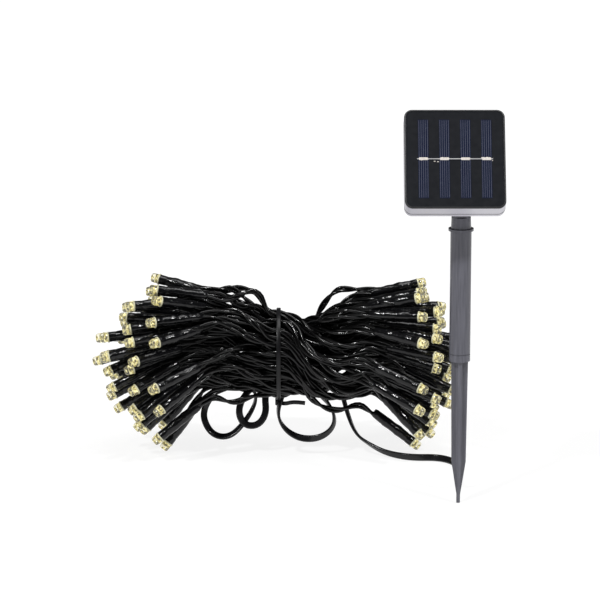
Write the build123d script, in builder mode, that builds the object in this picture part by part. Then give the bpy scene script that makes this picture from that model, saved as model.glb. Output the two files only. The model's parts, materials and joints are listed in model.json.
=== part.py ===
from build123d import *
from math import cos, pi, radians, sin, sqrt, tan
import os

# Solar string lights: a small tilting solar panel on a push-in ground stake, its lead,
# and the light string tied in the middle into a hank with the lamps fanned at both ends.
# Millimetres. +Z is up, the panel looks towards -Y, and the origin is the spike's tip.

os.makedirs("parts", exist_ok=True)

# ---------------------------------------------------------------- driving dimensions

# solar housing: width across, height up the face, depth from its back to its face
panel_width = 62.0
panel_height = 64.0
housing_depth = 21.5
cover_depth = 10.0
face_elevation = 30.0
corner_radius = 5.0
wall = 1.8

# the tilt hinge, on the stake's axis and a little right of the housing's middle
hinge_height = 193.3
hinge_setback = 9.0
hinge_above_edge = 14.0
hinge_across = 5.0
bolt_radius = 2.0
running_clearance = 0.06

# stake: the spike, the tube above it and the neck plugged into the tube
spike_length = 94.4
tube_top = 175.7
tube_radius = 6.6
socket_radius = 5.1
spigot_length = 28.0

# the hank: a bow-tie bundle lying behind the stake, tied round its middle
tie_x = -114.0
hank_y = 120.0
waist_z = 67.0
waist_half_height = 31.0
waist_half_depth = 26.0
lamps_each_end = 50

# a lamp: a clear cap on a long shrink sleeve
lens_radius = 3.3
lens_length = 6.0
sleeve_radius = 3.4
sleeve_length = 33.0

# the two-wire lead from the panel to the string
lead_diameter = 4.4

# ---------------------------------------------------------------- the housing's own frame

face_normal = Vector(0, -cos(radians(face_elevation)), sin(radians(face_elevation)))
face_up = Vector(0, sin(radians(face_elevation)), cos(radians(face_elevation)))
hinge_point = Vector(0, 0, hinge_height)
back_centre = (
    hinge_point
    + face_normal * hinge_setback
    + face_up * (panel_height / 2 - hinge_above_edge)
    - Vector(hinge_across, 0, 0)
)

# z = 0 on the housing's back, z = housing_depth on its face, y up the face
panel = Plane(origin=back_centre, x_dir=(1, 0, 0), z_dir=face_normal)
outward = Axis(origin=back_centre, direction=face_normal)
hinge_up = hinge_above_edge - panel_height / 2


def side_plane(across, up=0.0, depth=0.0):
    """A plane facing +X at a place in the housing: its x runs up the face, its y towards the face."""
    return Plane(
        origin=panel.from_local_coords((across, up, depth)),
        x_dir=face_up,
        z_dir=(1, 0, 0),
    )


def keep(piece, label):
    """Names a finished piece and writes it as its own file."""
    piece.part.label = label
    export_step(piece.part, f"parts/{label}.step")



def rounded_frame(inset, inner_inset):
    """A rounded rectangle a given distance inside the housing's outline, with a smaller one cut from it."""
    RectangleRounded(panel_width - 2 * inset, panel_height - 2 * inset, corner_radius - inset)
    RectangleRounded(
        panel_width - 2 * inner_inset,
        panel_height - 2 * inner_inset,
        corner_radius - inner_inset,
        mode=Mode.SUBTRACT,
    )


# ---------------------------------------------------------------- front shell

pocket_depth = 1.9
pocket_rim = 1.0
face_plate = 1.6
cavity_depth = housing_depth - cover_depth - pocket_depth - face_plate
screw_spacing_x = 44.0
screw_spacing_y = 48.0
boss_radius = 3.1
screw_radius = 1.3
wire_hole_radius = 2.0
wire_hole_up = 18.0
edge_round = 0.7

with BuildPart() as front_shell:
    with BuildSketch(panel.offset(cover_depth)):
        RectangleRounded(panel_width, panel_height, corner_radius)
    extrude(amount=housing_depth - cover_depth)
    front_edges = front_shell.faces().sort_by(outward)[-1].edges()
    fillet(front_edges, edge_round)
    with BuildSketch(panel.offset(cover_depth)):
        RectangleRounded(panel_width - 2 * wall, panel_height - 2 * wall, corner_radius - wall)
    extrude(amount=cavity_depth, mode=Mode.SUBTRACT)
    with BuildSketch(panel.offset(housing_depth - pocket_depth)):
        RectangleRounded(
            panel_width - 2 * pocket_rim,
            panel_height - 2 * pocket_rim,
            corner_radius - pocket_rim,
        )
    extrude(amount=pocket_depth, mode=Mode.SUBTRACT)
    with BuildSketch(panel.offset(housing_depth)):
        with Locations((0, wire_hole_up)):
            Circle(wire_hole_radius)
    extrude(amount=-(pocket_depth + face_plate), mode=Mode.SUBTRACT)
    with BuildSketch(panel.offset(cover_depth)):
        with GridLocations(screw_spacing_x, screw_spacing_y, 2, 2):
            Circle(boss_radius)
            Circle(screw_radius, mode=Mode.SUBTRACT)
    extrude(amount=cavity_depth)
keep(front_shell, "front_shell")

# ---------------------------------------------------------------- rear cover

back_taper_x = 4.0
back_taper_y = 3.0
taper_depth = 6.0
groove_width = 0.8
groove_depth = 0.8
screw_head_radius = 2.6
screw_head_depth = 1.6
post_radius = 2.0
post_places = [(-14.0, -1.0), (14.0, -1.0), (0.0, 22.0)]
board_depth = 7.0
button_across = 15.0
button_up = 17.0
button_radius = 3.0
button_hole_radius = 3.25
gland_across = hinge_across
gland_up = 6.0
gland_thread_radius = 4.0
floor_share = 1 - wall / taper_depth
groove_inset = (wall - groove_width) / 2

with BuildPart() as rear_cover:
    with BuildSketch(panel):
        RectangleRounded(panel_width - 2 * back_taper_x, panel_height - 2 * back_taper_y, corner_radius)
    with BuildSketch(panel.offset(taper_depth)):
        RectangleRounded(panel_width, panel_height, corner_radius)
    loft()
    with BuildSketch(panel.offset(taper_depth)):
        RectangleRounded(panel_width, panel_height, corner_radius)
    extrude(amount=cover_depth - taper_depth)
    with BuildSketch(panel.offset(wall)):
        RectangleRounded(
            panel_width - 2 * (back_taper_x * floor_share + wall),
            panel_height - 2 * (back_taper_y * floor_share + wall),
            corner_radius - wall,
        )
    with BuildSketch(panel.offset(taper_depth)):
        RectangleRounded(panel_width - 2 * wall, panel_height - 2 * wall, corner_radius - wall)
    loft(mode=Mode.SUBTRACT)
    with BuildSketch(panel.offset(taper_depth)):
        RectangleRounded(panel_width - 2 * wall, panel_height - 2 * wall, corner_radius - wall)
    extrude(amount=cover_depth - taper_depth, mode=Mode.SUBTRACT)
    with BuildSketch(panel.offset(cover_depth)):
        rounded_frame(groove_inset, groove_inset + groove_width)
    extrude(amount=-groove_depth, mode=Mode.SUBTRACT)
    with BuildSketch(panel.offset(wall)):
        with GridLocations(screw_spacing_x, screw_spacing_y, 2, 2):
            Circle(boss_radius)
    extrude(amount=cover_depth - wall)
    with BuildSketch(panel.offset(wall)):
        with Locations(*post_places):
            Circle(post_radius)
    extrude(amount=board_depth - wall)
    with BuildSketch(panel):
        with GridLocations(screw_spacing_x, screw_spacing_y, 2, 2):
            Circle(screw_radius)
    extrude(amount=cover_depth, mode=Mode.SUBTRACT)
    with BuildSketch(panel):
        with GridLocations(screw_spacing_x, screw_spacing_y, 2, 2):
            Circle(screw_head_radius)
    extrude(amount=screw_head_depth, mode=Mode.SUBTRACT)
    with BuildSketch(panel):
        with Locations((-button_across, button_up), (button_across, button_up)):
            Circle(button_hole_radius)
        with Locations((gland_across, gland_up)):
            Circle(gland_thread_radius)
    extrude(amount=wall, mode=Mode.SUBTRACT)
keep(rear_cover, "rear_cover")

# ---------------------------------------------------------------- gasket between the two shells

with BuildPart() as housing_gasket:
    with BuildSketch(panel.offset(cover_depth - groove_depth)):
        rounded_frame(groove_inset, groove_inset + groove_width)
    extrude(amount=groove_depth)
keep(housing_gasket, "housing_gasket")

# ---------------------------------------------------------------- solar laminate, cells, ribbon

laminate_gap = 0.15
laminate_thickness = 1.5
glue_line = 0.05
laminate_base = housing_depth - pocket_depth + glue_line
laminate_inset = pocket_rim + laminate_gap
cell_width = 6.4
cell_height = 51.0
cell_spacing = 12.9
cell_thickness = 0.1
ribbon_length = 46.5
ribbon_width = 0.5
ribbon_thickness = 0.06
pad_width = 5.6
pad_height = 1.7
pad_thickness = 0.1

with BuildPart() as solar_laminate:
    with BuildSketch(panel.offset(laminate_base)):
        RectangleRounded(
            panel_width - 2 * laminate_inset,
            panel_height - 2 * laminate_inset,
            corner_radius - laminate_inset,
        )
    extrude(amount=laminate_thickness)
keep(solar_laminate, "solar_laminate")

cell_base = laminate_base + laminate_thickness
with BuildPart() as solar_cells:
    with BuildSketch(panel.offset(cell_base)):
        with GridLocations(cell_spacing, 0, 4, 1):
            Rectangle(cell_width, cell_height)
    extrude(amount=cell_thickness)
keep(solar_cells, "solar_cells")

ribbon_base = cell_base + cell_thickness
with BuildPart() as tabbing_ribbon:
    with BuildSketch(panel.offset(ribbon_base)):
        Rectangle(ribbon_length, ribbon_width)
    extrude(amount=ribbon_thickness)
keep(tabbing_ribbon, "tabbing_ribbon")

with BuildPart() as solder_pads:
    with BuildSketch(panel.offset(ribbon_base + ribbon_thickness)):
        with GridLocations(cell_spacing, 0, 4, 1):
            RectangleRounded(pad_width, pad_height, pad_height / 3)
    extrude(amount=pad_thickness)
keep(solder_pads, "solder_pads")

# ---------------------------------------------------------------- circuit board and its parts

board_width = 36.0
board_height = 27.0
board_up = 10.5
board_thickness = 1.2
board_corner = 1.5
board_top = board_depth + board_thickness

with BuildPart() as circuit_board:
    with BuildSketch(panel.offset(board_depth)):
        with Locations((0, board_up)):
            RectangleRounded(board_width, board_height, board_corner)
    extrude(amount=board_thickness)
keep(circuit_board, "circuit_board")

# each part on the board: across, up, width, height, thickness
board_part_sizes = [
    (-8.0, 12.0, 5.0, 4.0, 1.5),
    (5.0, 14.0, 4.0, 4.0, 3.0),
    (10.0, 5.0, 2.4, 1.4, 0.8),
    (-3.0, 3.0, 3.2, 1.8, 1.1),
    (-13.0, 5.0, 2.0, 1.2, 0.6),
]
with BuildPart() as board_parts:
    for across, up, width, height, thickness in board_part_sizes:
        with BuildSketch(panel.offset(board_top)):
            with Locations((across, up)):
                Rectangle(width, height)
        extrude(amount=thickness)
keep(board_parts, "board_parts")

switch_size = 6.0
switch_body_depth = 2.6
plunger_radius = 1.5
plunger_length = 0.5
with BuildPart() as tact_switches:
    with BuildSketch(panel.offset(board_depth)):
        with Locations((-button_across, button_up), (button_across, button_up)):
            Rectangle(switch_size, switch_size)
    extrude(amount=-switch_body_depth)
    with BuildSketch(panel.offset(board_depth - switch_body_depth)):
        with Locations((-button_across, button_up), (button_across, button_up)):
            Circle(plunger_radius)
    extrude(amount=-plunger_length)
keep(tact_switches, "tact_switches")

# ---------------------------------------------------------------- rechargeable cell and its contacts

cell_up = -12.5
cell_depth = 9.9
battery_radius = 7.05
battery_start = -22.8
battery_body = 49.0
nub_radius = 2.6
nub_length = 1.0
contact_size = 9.0
contact_thickness = 0.4
cradle_length = 40.0
cradle_width = 12.0
cradle_clearance = 0.1

with BuildPart() as battery:
    with BuildSketch(side_plane(battery_start, cell_up, cell_depth)):
        Circle(battery_radius)
    extrude(amount=battery_body)
    with BuildSketch(side_plane(battery_start + battery_body, cell_up, cell_depth)):
        Circle(nub_radius)
    extrude(amount=nub_length)
keep(battery, "battery")

with BuildPart() as battery_cradle:
    with BuildSketch(panel.offset(wall)):
        with Locations((0, cell_up)):
            Rectangle(cradle_length, cradle_width)
    extrude(amount=cell_depth - battery_radius / 2 - wall)
    with BuildSketch(side_plane(-cradle_length / 2, cell_up, cell_depth)):
        Circle(battery_radius + cradle_clearance)
    extrude(amount=cradle_length, mode=Mode.SUBTRACT)
keep(battery_cradle, "battery_cradle")

positive_face = battery_start + battery_body + nub_length
with BuildPart() as battery_contact:
    with BuildSketch(side_plane(positive_face, cell_up, cell_depth)):
        Rectangle(contact_size, contact_size)
    extrude(amount=contact_thickness)
keep(battery_contact, "battery_contact")

spring_gap = 4.4
spring_wire = 0.35
spring_pitch = 1.2
spring_radius = 3.2
spring_length = spring_gap - 2 * spring_wire
with BuildPart() as battery_spring:
    with BuildSketch(side_plane(battery_start - spring_gap, cell_up, cell_depth)):
        Rectangle(contact_size, contact_size)
    extrude(amount=-contact_thickness)
    spring_start = panel.from_local_coords((battery_start - spring_gap, cell_up, cell_depth))
    with BuildLine():
        coil = Helix(spring_pitch, spring_length, spring_radius, center=spring_start, direction=(1, 0, 0))
    with BuildSketch(Plane(origin=coil @ 0, z_dir=coil % 0)):
        Circle(spring_wire)
    sweep(path=coil)
keep(battery_spring, "battery_spring")

# ---------------------------------------------------------------- housing screws

screw_length = 12.0
screw_head_set_in = 0.3
slot_length = 3.2
slot_width = 0.7
slot_depth = 0.8
with BuildPart() as housing_screws:
    with BuildSketch(panel.offset(screw_head_set_in)):
        with GridLocations(screw_spacing_x, screw_spacing_y, 2, 2):
            Circle(screw_head_radius)
    extrude(amount=screw_head_depth - screw_head_set_in)
    with BuildSketch(panel.offset(screw_head_depth)):
        with GridLocations(screw_spacing_x, screw_spacing_y, 2, 2):
            Circle(screw_radius)
    extrude(amount=screw_length)
    with BuildSketch(panel.offset(screw_head_set_in)):
        with GridLocations(screw_spacing_x, screw_spacing_y, 2, 2):
            Rectangle(slot_length, slot_width)
            Rectangle(slot_width, slot_length)
    extrude(amount=slot_depth, mode=Mode.SUBTRACT)
keep(housing_screws, "housing_screws")

# ---------------------------------------------------------------- two rubber push buttons on the back

button_proud = 1.4
button_flange_radius = 3.9
button_flange_gap = 0.15
button_flange_depth = 0.7
button_crown = 0.8

for label, across in (("power_button", -button_across), ("mode_button", button_across)):
    with BuildPart() as push_button:
        with BuildSketch(panel.offset(-button_proud)):
            with Locations((across, button_up)):
                Circle(button_radius)
        extrude(amount=button_proud + wall + button_flange_gap)
        crown = push_button.edges().filter_by(GeomType.CIRCLE).sort_by(outward)[0]
        fillet(crown, button_crown)
        with BuildSketch(panel.offset(wall + button_flange_gap)):
            with Locations((across, button_up)):
                Circle(button_flange_radius)
        extrude(amount=button_flange_depth)
    keep(push_button, label)

# ---------------------------------------------------------------- hinge bracket, bolt and knob

bracket_plate = 2.0
bracket_width = 25.0
bracket_height = 18.0
ear_gap = 5.3
ear_thickness = 3.0
ear_radius = 5.0
ear_foot_half = 6.5
plate_corner = 2.0
bracket_screw_across = 10.4
bracket_screw_radius = 1.2
bracket_screw_head = 1.9
bracket_screw_head_depth = 1.1
bracket_screw_places = [
    (hinge_across - bracket_screw_across, hinge_up),
    (hinge_across + bracket_screw_across, hinge_up),
]

with BuildPart() as hinge_bracket:
    with BuildSketch(panel.offset(-bracket_plate)):
        with Locations((hinge_across, hinge_up)):
            RectangleRounded(bracket_width, bracket_height, plate_corner)
    extrude(amount=bracket_plate)
    for across in (-ear_gap - ear_thickness, ear_gap):
        with BuildSketch(side_plane(hinge_across + across, hinge_up, -hinge_setback)):
            Circle(ear_radius)
            with BuildLine():
                Polyline(
                    (-ear_radius, 0),
                    (ear_radius, 0),
                    (ear_foot_half, hinge_setback - bracket_plate),
                    (-ear_foot_half, hinge_setback - bracket_plate),
                    close=True,
                )
            make_face()
        extrude(amount=ear_thickness)
    with BuildSketch(side_plane(hinge_across - ear_gap - ear_thickness, hinge_up, -hinge_setback)):
        Circle(bolt_radius)
    extrude(amount=2 * (ear_gap + ear_thickness), mode=Mode.SUBTRACT)
    with BuildSketch(panel.offset(-bracket_plate)):
        with Locations(*bracket_screw_places):
            Circle(bracket_screw_radius)
    extrude(amount=bracket_plate, mode=Mode.SUBTRACT)
keep(hinge_bracket, "hinge_bracket")

with BuildPart() as bracket_screws:
    with BuildSketch(panel.offset(-bracket_plate)):
        with Locations(*bracket_screw_places):
            Circle(bracket_screw_head)
    extrude(amount=-bracket_screw_head_depth)
    with BuildSketch(panel.offset(-bracket_plate)):
        with Locations(*bracket_screw_places):
            Circle(bracket_screw_radius)
    extrude(amount=bracket_plate)
keep(bracket_screws, "bracket_screws")

bolt_head_radius = 3.7
bolt_head_length = 2.4
knob_radius = 5.4
knob_length = 5.5
knob_cap = 1.5
scallop_radius = 1.5
scallop_reach = 6.0
outer_ear = ear_gap + ear_thickness

with BuildPart() as hinge_bolt:
    with BuildSketch(Plane.YZ.offset(-outer_ear - bolt_head_length)):
        with Locations((0, hinge_height)):
            RegularPolygon(bolt_head_radius, 6)
    extrude(amount=bolt_head_length)
    with BuildSketch(Plane.YZ.offset(-outer_ear)):
        with Locations((0, hinge_height)):
            Circle(bolt_radius)
    extrude(amount=2 * outer_ear + knob_length - knob_cap)
keep(hinge_bolt, "hinge_bolt")

with BuildPart() as hinge_knob:
    with BuildSketch(Plane.YZ.offset(outer_ear)):
        with Locations((0, hinge_height)):
            Circle(knob_radius)
            with PolarLocations(scallop_reach, 6):
                Circle(scallop_radius, mode=Mode.SUBTRACT)
    extrude(amount=knob_length)
    with BuildSketch(Plane.YZ.offset(outer_ear)):
        with Locations((0, hinge_height)):
            Circle(bolt_radius)
    extrude(amount=knob_length - knob_cap, mode=Mode.SUBTRACT)
keep(hinge_knob, "hinge_knob")

# ---------------------------------------------------------------- cable gland on the rear cover

gland_flange_radius = 5.6
gland_flange_depth = 1.6
gland_nose_radius = 3.4
gland_length = 8.0
gland_tail = 2.6
with BuildPart() as cable_gland:
    with BuildSketch(panel):
        with Locations((gland_across, gland_up)):
            RegularPolygon(gland_flange_radius, 6)
    extrude(amount=-gland_flange_depth)
    with BuildSketch(panel.offset(-gland_flange_depth)):
        with Locations((gland_across, gland_up)):
            Circle(gland_thread_radius)
    with BuildSketch(panel.offset(-gland_length)):
        with Locations((gland_across, gland_up)):
            Circle(gland_nose_radius)
    loft()
    with BuildSketch(panel):
        with Locations((gland_across, gland_up)):
            Circle(gland_thread_radius)
    extrude(amount=wall + gland_tail)
    with BuildSketch(panel.offset(-gland_length)):
        with Locations((gland_across, gland_up)):
            Circle(lead_diameter / 2)
    extrude(amount=gland_length + wall + gland_tail, mode=Mode.SUBTRACT)
keep(cable_gland, "cable_gland")

# ---------------------------------------------------------------- neck: spigot, column and knuckle

shoulder_radius = 7.9
shoulder_height = 1.4
column_radius = 6.3
column_top = 184.2
knuckle_half_width = 5.0
knuckle_radius = 4.8
knuckle_root = 2.0
neck_spigot = 18.0
column_draft = 2.0

with BuildPart() as pole_neck:
    with BuildSketch(Plane.XY.offset(tube_top - neck_spigot)):
        Circle(socket_radius)
    extrude(amount=neck_spigot)
    with BuildSketch(Plane.XY.offset(tube_top)):
        Circle(shoulder_radius)
    extrude(amount=shoulder_height)
    with BuildSketch(Plane.XY.offset(tube_top + shoulder_height)):
        Circle(column_radius)
    extrude(amount=column_top - tube_top - shoulder_height, taper=column_draft)
    with BuildSketch(Plane.YZ.offset(-knuckle_half_width)):
        with Locations((0, hinge_height)):
            Circle(knuckle_radius)
        with Locations((0, (hinge_height + column_top - knuckle_root) / 2)):
            Rectangle(2 * knuckle_radius, hinge_height - column_top + knuckle_root)
    extrude(amount=2 * knuckle_half_width)
    with BuildSketch(Plane.YZ.offset(-knuckle_half_width)):
        with Locations((0, hinge_height)):
            Circle(bolt_radius + running_clearance)
    extrude(amount=2 * knuckle_half_width, mode=Mode.SUBTRACT)
keep(pole_neck, "pole_neck")

# ---------------------------------------------------------------- pole tube

rim_groove_up = 2.4
rim_groove_depth = 0.35
rim_groove_height = 0.8
with BuildPart() as pole_tube:
    with BuildSketch(Plane.XY.offset(spike_length)):
        Circle(tube_radius)
        Circle(socket_radius, mode=Mode.SUBTRACT)
    extrude(amount=tube_top - spike_length)
    with BuildSketch(Plane.XY.offset(spike_length + rim_groove_up)):
        Circle(tube_radius)
        Circle(tube_radius - rim_groove_depth, mode=Mode.SUBTRACT)
    extrude(amount=rim_groove_height, mode=Mode.SUBTRACT)
keep(pole_tube, "pole_tube")

# ---------------------------------------------------------------- ground spike: four ribs on a core

shoulder_drop = 1.8
rib_half_width = 5.25
rib_lower_half_width = 4.5
rib_lower_height = 27.0
tip_shoulder_height = 4.0
tip_shoulder_half = 0.9
tip_half = 0.35
rib_thickness = 2.3
core_radius = 2.4
core_top_radius = 2.8

with BuildPart() as ground_spike:
    for rib_plane in (Plane.XZ, Plane.YZ):
        with BuildSketch(rib_plane):
            with BuildLine():
                Polyline(
                    (-tip_half, 0),
                    (tip_half, 0),
                    (tip_shoulder_half, tip_shoulder_height),
                    (rib_lower_half_width, rib_lower_height),
                    (rib_half_width, spike_length - shoulder_drop),
                    (-rib_half_width, spike_length - shoulder_drop),
                    (-rib_lower_half_width, rib_lower_height),
                    (-tip_shoulder_half, tip_shoulder_height),
                    close=True,
                )
            make_face()
        extrude(amount=rib_thickness / 2, both=True)
    with BuildSketch(Plane.XZ):
        with BuildLine():
            Polyline(
                (0, 0),
                (tip_half, 0),
                (tip_shoulder_half, tip_shoulder_height),
                (core_radius, rib_lower_height),
                (core_top_radius, spike_length - shoulder_drop),
                (0, spike_length - shoulder_drop),
                close=True,
            )
        make_face()
    revolve(axis=Axis.Z)
    with BuildSketch(Plane.XY.offset(spike_length - shoulder_drop)):
        Circle(tube_radius)
    extrude(amount=shoulder_drop)
    with BuildSketch(Plane.XY.offset(spike_length)):
        Circle(socket_radius - running_clearance)
    extrude(amount=spigot_length)
keep(ground_spike, "ground_spike")

# ---------------------------------------------------------------- lamps: sunflower layout on a dome

golden_angle = pi * (3 - sqrt(5))
fan_z = 61.5

# each end: its name, its sense along X, the dome's reach from the tie, its drop at the rim, its radius
ends = [("left", -1, 124.0, 44.0, 56.0), ("right", 1, 125.0, 30.0, 54.0)]
fan_apex_z = 88.0
stagger = 5.0
post_frame_width = 2.2
post_frame_thickness = 0.5
post_frame_top = 2.5


def lamp_plane(index, sense, reach, drop, radius):
    """The plane at a lamp's lens tip, facing outwards."""
    share = (index + 0.5) / lamps_each_end
    turn = index * golden_angle
    away = radius * sqrt(share)
    along = reach - drop * share - stagger * (index % 3) * (1 - share / 2)
    tip = Vector(tie_x + sense * along, hank_y + away * cos(turn), fan_z + away * sin(turn))
    apex = Vector(tie_x, hank_y, fan_apex_z)
    return Plane(origin=tip, z_dir=tip - apex)


for end_name, sense, reach, drop, radius in ends:
    lamp_planes = [lamp_plane(i, sense, reach, drop, radius) for i in range(lamps_each_end)]
    with BuildPart() as led_lenses:
        for place in lamp_planes:
            with BuildSketch(place.offset(-lens_length)):
                Circle(lens_radius)
            extrude(amount=lens_length)
    keep(led_lenses, f"led_lenses_{end_name}")
    with BuildPart() as led_sleeves:
        for place in lamp_planes:
            with BuildSketch(place.offset(-lens_length - sleeve_length)):
                Circle(sleeve_radius)
            extrude(amount=sleeve_length)
    keep(led_sleeves, f"led_sleeves_{end_name}")
    with BuildPart() as led_frames:
        for place in lamp_planes:
            with BuildSketch(place.offset(-lens_length)):
                Rectangle(post_frame_width, post_frame_thickness)
            extrude(amount=lens_length - post_frame_top)
    keep(led_frames, f"led_frames_{end_name}")

# ---------------------------------------------------------------- the hank's outer shape

# stations along the bundle: distance from the tie, height of its middle, half height, half depth
hank_stations = [
    (-112.0, 61.5, 16.0, 16.0),
    (-104.0, 61.5, 34.0, 34.0),
    (-92.0, 61.5, 47.0, 46.0),
    (-76.0, 62.0, 54.0, 52.0),
    (-60.0, 62.5, 54.0, 51.0),
    (-36.0, 64.5, 47.0, 42.0),
    (-16.0, 66.0, 37.0, 32.0),
    (0.0, waist_z, waist_half_height, waist_half_depth),
    (16.0, 66.0, 36.0, 31.0),
    (34.0, 64.5, 42.0, 38.0),
    (58.0, 62.5, 50.0, 48.0),
    (80.0, 61.5, 53.0, 51.0),
    (98.0, 61.5, 49.0, 48.0),
    (110.0, 61.5, 34.0, 34.0),
    (116.0, 61.5, 18.0, 18.0),
]
with BuildPart() as string_hank:
    for along, middle, half_height, half_depth in hank_stations:
        station = Plane(origin=(tie_x + along, hank_y, middle), x_dir=(0, 1, 0), z_dir=(1, 0, 0))
        with BuildSketch(station):
            Ellipse(half_depth, half_height)
    loft(ruled=True)
keep(string_hank, "string_hank")

# ---------------------------------------------------------------- cable tie round the waist

tie_width = 2.8
tie_thickness = 1.1
tie_head = 4.6
head_sunk = 0.4
strap_side = Plane(origin=(tie_x - tie_width / 2, hank_y, waist_z), x_dir=(0, 1, 0), z_dir=(1, 0, 0))
with BuildPart() as cable_tie:
    with BuildSketch(strap_side):
        Ellipse(waist_half_depth + tie_thickness, waist_half_height + tie_thickness)
        Ellipse(waist_half_depth, waist_half_height, mode=Mode.SUBTRACT)
    extrude(amount=tie_width)
    with BuildSketch(Plane.XY.offset(waist_z - waist_half_height - tie_head)):
        with Locations((tie_x, hank_y)):
            Rectangle(tie_head, tie_head)
    extrude(amount=tie_head - head_sunk)
keep(cable_tie, "cable_tie")

# ---------------------------------------------------------------- lead: gland, drop, floor, loops

loops_low = 7.0
loops_high = 33.5
loops_left = -158.0
loops_right = -80.0
loops_depth = 16.0
loops_corner = 9.0
with BuildPart() as lead_loops:
    with BuildSketch(Plane.XZ.offset(-hank_y)):
        with Locations(((loops_left + loops_right) / 2, (loops_low + loops_high) / 2)):
            RectangleRounded(loops_right - loops_left, loops_high - loops_low, loops_corner)
    extrude(amount=loops_depth)
keep(lead_loops, "lead_loops")

first_run = 17.5
gland_exit = panel.from_local_coords((gland_across, gland_up, -gland_length))
first_turn = panel.from_local_coords((gland_across, gland_up, -gland_length - first_run))

# the drop's points run from the gland down behind the pole, and the floor's on to the hank
drop_points = [
    gland_exit,
    first_turn,
    Vector(0.4, 27.0, 182.0),
    Vector(-0.2, 23.0, 144.0),
    Vector(0.5, 21.5, 104.0),
]
floor_points = [
    Vector(0.0, 19.0, 62.0),
    Vector(0.8, 20.0, 26.0),
    Vector(1.6, 31.0, 5.0),
    Vector(3.0, 58.0, 2.6),
    Vector(4.0, 82.0, 2.4),
    Vector(-7.0, 97.0, 2.4),
    Vector(-27.0, 96.0, 2.4),
    Vector(-43.0, 105.0, 3.0),
    Vector(-54.0, 111.0, 7.5),
    Vector(-63.0, 115.5, 13.0),
]
lead_route = drop_points + floor_points
drop_end = (drop_points[-1] + floor_points[0]) * 0.5


def corner_radii(points):
    """The largest arc each corner of a cord's route allows, from its two runs and its turn."""
    radii = []
    for before, here, after in zip(points, points[1:], points[2:]):
        turn = (here - before).get_angle(after - here)
        shorter = min((here - before).length, (after - here).length)
        radii.append(0.45 * shorter / tan(radians(turn) / 2))
    return radii


route_radii = corner_radii(lead_route)
print("lead radii", [round(r, 1) for r in route_radii])
drop_radii = route_radii[: len(drop_points) - 1]
floor_radii = route_radii[len(drop_points) - 1 :]

for label, points, radii in (
    ("lead_drop", drop_points + [drop_end], drop_radii),
    ("lead_floor", [drop_end] + floor_points, floor_radii),
):
    with BuildPart() as lead_tube:
        with BuildLine() as lead_path:
            FilletPolyline(*points, radius=radii)
        with BuildSketch(Plane(origin=points[0], z_dir=points[1] - points[0])):
            Circle(lead_diameter / 2)
        sweep(path=lead_path.wires()[0])
    length = lead_path.wires()[0].length
    straight_volume = length * pi * lead_diameter**2 / 4
    print(label, round(length, 1), "volume ratio", round(lead_tube.part.volume / straight_volume, 4))
    keep(lead_tube, label)
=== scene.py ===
import json
from math import pi, radians

import bpy
import numpy as np
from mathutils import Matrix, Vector


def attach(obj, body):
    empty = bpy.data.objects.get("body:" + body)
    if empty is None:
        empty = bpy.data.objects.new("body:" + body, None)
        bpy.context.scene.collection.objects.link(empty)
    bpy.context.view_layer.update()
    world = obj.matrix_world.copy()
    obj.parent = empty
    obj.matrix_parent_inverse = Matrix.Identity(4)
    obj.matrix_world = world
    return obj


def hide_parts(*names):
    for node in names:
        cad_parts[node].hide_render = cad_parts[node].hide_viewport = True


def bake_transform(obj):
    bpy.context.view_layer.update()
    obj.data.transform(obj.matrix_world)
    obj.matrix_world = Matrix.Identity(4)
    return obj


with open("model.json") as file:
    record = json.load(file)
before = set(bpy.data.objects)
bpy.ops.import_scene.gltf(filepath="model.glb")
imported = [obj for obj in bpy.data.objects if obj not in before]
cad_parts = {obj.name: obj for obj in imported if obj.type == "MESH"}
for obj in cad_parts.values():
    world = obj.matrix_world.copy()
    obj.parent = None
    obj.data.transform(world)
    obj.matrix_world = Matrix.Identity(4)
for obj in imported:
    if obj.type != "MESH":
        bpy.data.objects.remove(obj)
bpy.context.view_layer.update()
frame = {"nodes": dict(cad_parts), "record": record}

scene = bpy.context.scene

# ------------------------------------------------------------------ camera
# A long lens, a little above the floor and square on to the stake, with the stake at the
# right and the hank behind it to the left.
aim = Vector((-0.0999, 0.0288, 0.1247))
camera_elevation = radians(13.0)
camera_distance = 2.107
camera_data = bpy.data.cameras.new("camera")
camera_data.lens = 200.0
camera_data.sensor_width = 36.0
camera = bpy.data.objects.new("camera", camera_data)
camera.location = aim + camera_distance * Vector((0.0, -np.cos(camera_elevation), np.sin(camera_elevation)))
camera.rotation_euler = (pi / 2 - camera_elevation, 0.0, 0.0)
scene.collection.objects.link(camera)
scene.camera = camera

# ------------------------------------------------------------------ where the lamps sit
# Each end of the hank carries fifty lamps, spread like the seeds of a sunflower over a shallow
# dome, every one pointing away from the top of the tie.
lamps_each_end = 50
golden_angle = pi * (3 - 5**0.5)
tie_x, hank_y, waist_z, fan_z = -0.114, 0.120, 0.067, 0.0615
apex = np.array((tie_x, hank_y, 0.098))
sleeve_length = 0.033
# each end: its sense along X, the dome's reach from the tie, its drop at the rim, its radius
ends = {"left": (-1, 0.124, 0.044, 0.057), "right": (1, 0.125, 0.030, 0.058)}
row_step = 0.005
lamp_turn, lamp_stray = 0.075, 0.0016
tip_stray = np.array((0.3, 1.0, 1.0)) * lamp_stray


def unit(vectors):
    """Vectors over their own lengths."""
    return vectors / np.linalg.norm(vectors, axis=-1, keepdims=True)


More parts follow.
